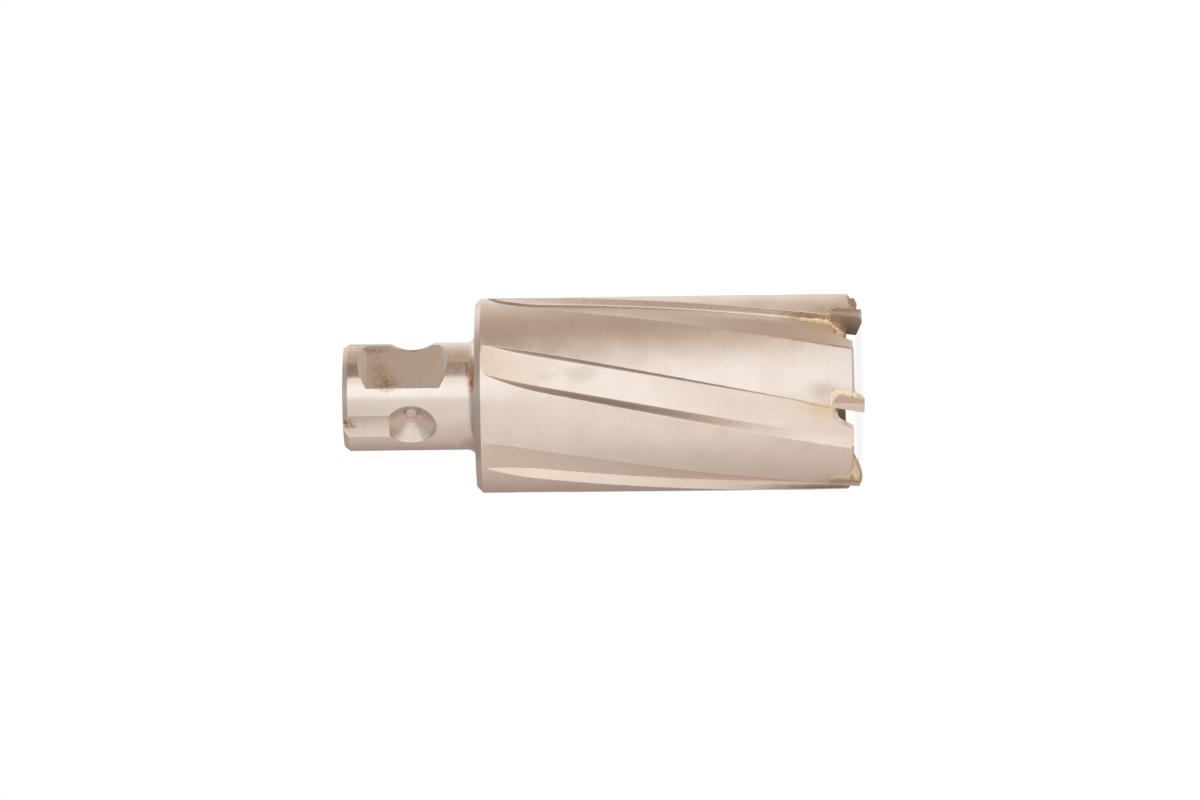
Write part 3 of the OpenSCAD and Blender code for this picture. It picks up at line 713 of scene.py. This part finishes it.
def outside_bead(bm, number):
    """The film of braze around a pocket on the body's outside, along the tip's back and its rear end."""
    half_width, corner = 0.42, 1.0
    back = TIP_THICKNESS + BRAZE_GAP + half_width
    rear = TIP_LENGTH + BRAZE_GAP + half_width
    path = [(back, FRONT_Z + 0.05 + (rear - corner - FRONT_Z - 0.05) * i / 14) for i in range(15)]
    path += [(back - corner + corner * cos(a), rear - corner + corner * sin(a))
             for a in (pi / 2 * i / 10 for i in range(1, 11))]
    path += [(back - corner - (back - corner - 0.1) * i / 12, rear) for i in range(1, 13)]
    rings = []
    for i, (y, z) in enumerate(path):
        before, after = path[max(i - 1, 0)], path[min(i + 1, len(path) - 1)]
        step = hypot(after[0] - before[0], after[1] - before[1])
        side = ((after[1] - before[1]) / step, -(after[0] - before[0]) / step)
        share = i / (len(path) - 1)
        ends = min(1.0, share * 12 + 0.2, (1 - share) * 9 + 0.35)
        width = half_width * wavering(i * 0.07, number, 0.4) * ends
        height = (0.02 + 0.03 * share) * ends
        ring = []
        for j in range(7):
            s = 1 - 2 * j / 6
            ring.append(on_outside(number, y + side[0] * width * s, z + side[1] * width * s,
                                   height * (1 - s * s) - 0.01))
        ring.append(on_outside(number, y - side[0] * width, z - side[1] * width, -0.12))
        ring.append(on_outside(number, y + side[0] * width, z + side[1] * width, -0.12))
        rings.append(ring)
    join_rings(bm, rings)


def tube(bm, points, sizes, number):
    """A bead of braze along a path of points in millimetres."""
    rings = []
    for i, point in enumerate(points):
        ahead = points[min(i + 1, len(points) - 1)] - points[max(i - 1, 0)]
        ahead.normalize()
        first = ahead.cross(Vector((point.x, point.y, 0)).normalized()).normalized()
        second = ahead.cross(first)
        size = sizes[i] * wavering(i * 0.1 + 3, number, 0.35)
        rings.append([(point + first * cos(a) * size + second * sin(a) * size) * MM
                      for a in (2 * pi * j / 10 for j in range(10))])
    join_rings(bm, rings)


# How thick the line of braze along each tip's rounded rear corner is, in millimetres
CORNER_LINES = [0.26, 0.32, 0.24, 0.3, 0.2, 0.36]


def corner_line(bm, number):
    """The line of braze that drew itself along the rounded rear corner of a tip's cutting face."""
    frame_turn = tip_frame(number)
    points, sizes = [], []
    for i in range(25):
        share = i / 24
        x = FLUTE_FLOOR_R + 0.2 - (FLUTE_FLOOR_R + 0.2 - TIP_INNER_R - 0.1) * max(0.0, share - 0.15) / 0.85
        z = TIP_LENGTH + 0.6 - 3.05 * share + 0.35 * sin(pi * share)
        points.append(frame_turn @ Vector((x, -0.16, z)))
        sizes.append(CORNER_LINES[number - 1] * min(1.0, 0.6 + share * 3, 0.35 + (1 - share) * 2.5))
    tube(bm, points, sizes, number)


# How far the pool of braze at the inner end of that corner spreads in front of each face, in millimetres
CORNER_POOLS = [0.0, 1.3, 0.0, 1.4, 0.0, 1.5]


def corner_pool(bm, number):
    """The pool of braze in the corner of the gullet, where some of the tips have one."""
    spread = CORNER_POOLS[number - 1]
    if not spread:
        return
    frame_turn = tip_frame(number)
    rings = []
    for i in range(13):
        share = i / 12
        z = 4.75 - 1.85 * share
        width = spread * (0.4 + 0.6 * share) * wavering(i * 0.12 + 9, number, 0.05)
        climb = 0.6 * (1 - 0.6 * share)
        places = [(CORE_R + 0.05 + climb * (1 - j / 8) ** 1.8, -0.02 - width * j / 8) for j in range(9)]
        places += [(CORE_R - 0.15, -0.02 - width), (CORE_R - 0.15, -0.02)]
        rings.append([frame_turn @ Vector((x, y, z)) * MM for x, y in places])
    join_rings(bm, rings)


def root_bead(bm, number):
    """The bead of braze along the foot of the flute's cutting side, which thins out towards the shank."""
    points, sizes = [], []
    for i in range(25):
        z = 5.7 + 6.8 * i / 24
        turn = FIRST_TIP_ANGLE + (number - 1) * PITCH + z * 360.0 / FLUTE_LEAD
        r = FLUTE_FLOOR_R + 0.1
        points.append(Vector((r * cos(radians(turn - 0.35)), r * sin(radians(turn - 0.35)), z)))
        sizes.append(0.5 * min(1.0, 0.5 + i / 4) * (1 - i / 24) ** 0.5 + 0.03)
    tube(bm, points, sizes, number)


# How far the fillet behind each tip reaches along the body's face, in millimetres, and what share of the tip's
# back it covers
BACK_FILLETS = [(1.6, 0.6), (2.4, 0.7), (2.0, 0.75), (3.1, 1.1), (1.0, 0.4), (1.8, 0.6)]


def back_fillet(bm, number):
    """The hollow fillet of braze behind a tip, from the body's front face up the tip's back."""
    frame_turn = tip_frame(number)
    reach, cover = BACK_FILLETS[number - 1]
    rings = []
    for i in range(17):
        share = i / 16
        r = CORE_R + 0.3 + (BODY_FRONT_R - 0.06 - CORE_R - 0.3) * share
        # The tip's back ends in a low roof, whose ridge stands back from its outer edge
        past_ridge = r - (TIP_OUTER_R - TIP_POINT_OFFSET)
        drop = max(past_ridge * TIP_OUTER_SLOPE, -past_ridge * TIP_INNER_SLOPE) + TIP_BACK_DROP
        up = (FRONT_Z - drop) * cover * wavering(i * 0.15, number + 23, 0.1) * min(1.0, 0.5 + share * 4)
        out = reach * min(1.0, 0.55 + share * 2) * wavering(i * 0.15, number + 11, 0.15)
        bevel = max(0.0, r - (BODY_FRONT_R - FRONT_CHAMFER))
        places = [(TIP_THICKNESS - 0.02 + out * j / 8, bevel - (up + bevel) * (1 - j / 8) ** 1.7)
                  for j in range(9)]
        places += [(TIP_THICKNESS + out, bevel + 0.12), (TIP_THICKNESS - 0.02, bevel + 0.12)]
        ring = []
        for y, rise in places:
            front = (FRONT_Z + y * sin(radians(TIP_TILT))) / cos(radians(TIP_TILT))
            ring.append(frame_turn @ Vector((sqrt(r * r - y * y), y, front + rise)) * MM)
        rings.append(ring)
    join_rings(bm, rings)


def braze_beads(number, material):
    """All the braze that shows around one tip, as one piece."""
    bm = bmesh.new()
    for bead in (outside_bead, corner_line, corner_pool, root_bead, back_fillet):
        bead(bm, number)
    bmesh.ops.recalc_face_normals(bm, faces=bm.faces)
    mesh = bpy.data.meshes.new(f"braze_beads_{number}")
    bm.to_mesh(mesh)
    bm.free()
    mesh.polygons.foreach_set("use_smooth", [True] * len(mesh.polygons))
    beads = bpy.data.objects.new(f"braze_beads_{number}", mesh)
    bpy.context.collection.objects.link(beads)
    mesh.materials.append(material)
    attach(beads, "root")


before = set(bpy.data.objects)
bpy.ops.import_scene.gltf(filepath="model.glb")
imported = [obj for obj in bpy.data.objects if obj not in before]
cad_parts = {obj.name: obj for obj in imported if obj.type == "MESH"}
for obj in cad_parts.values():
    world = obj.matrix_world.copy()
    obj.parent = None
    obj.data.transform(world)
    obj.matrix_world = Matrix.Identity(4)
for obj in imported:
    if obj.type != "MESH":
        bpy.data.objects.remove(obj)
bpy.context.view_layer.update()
make_camera()
make_world()
make_floor()
make_studio()
bpy.context.scene.view_settings.view_transform = "Standard"

FINISHES = {
    "cutter_body": (steel_material(), BODY_SMOOTH_ANGLE),
    "carbide_tip": (carbide_material(), TIP_SMOOTH_ANGLE),
    "braze_joint": (braze_material(), TIP_SMOOTH_ANGLE),
}
for name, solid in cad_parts.items():
    finish, sharpest = FINISHES[name.rstrip("_123456")]
    smooth_flutes(solid.data, sharpest)
    for slot in range(len(solid.data.materials)):
        solid.data.materials[slot] = finish
for number in range(1, TIP_COUNT + 1):
    braze_beads(number, FINISHES["braze_joint"][0])
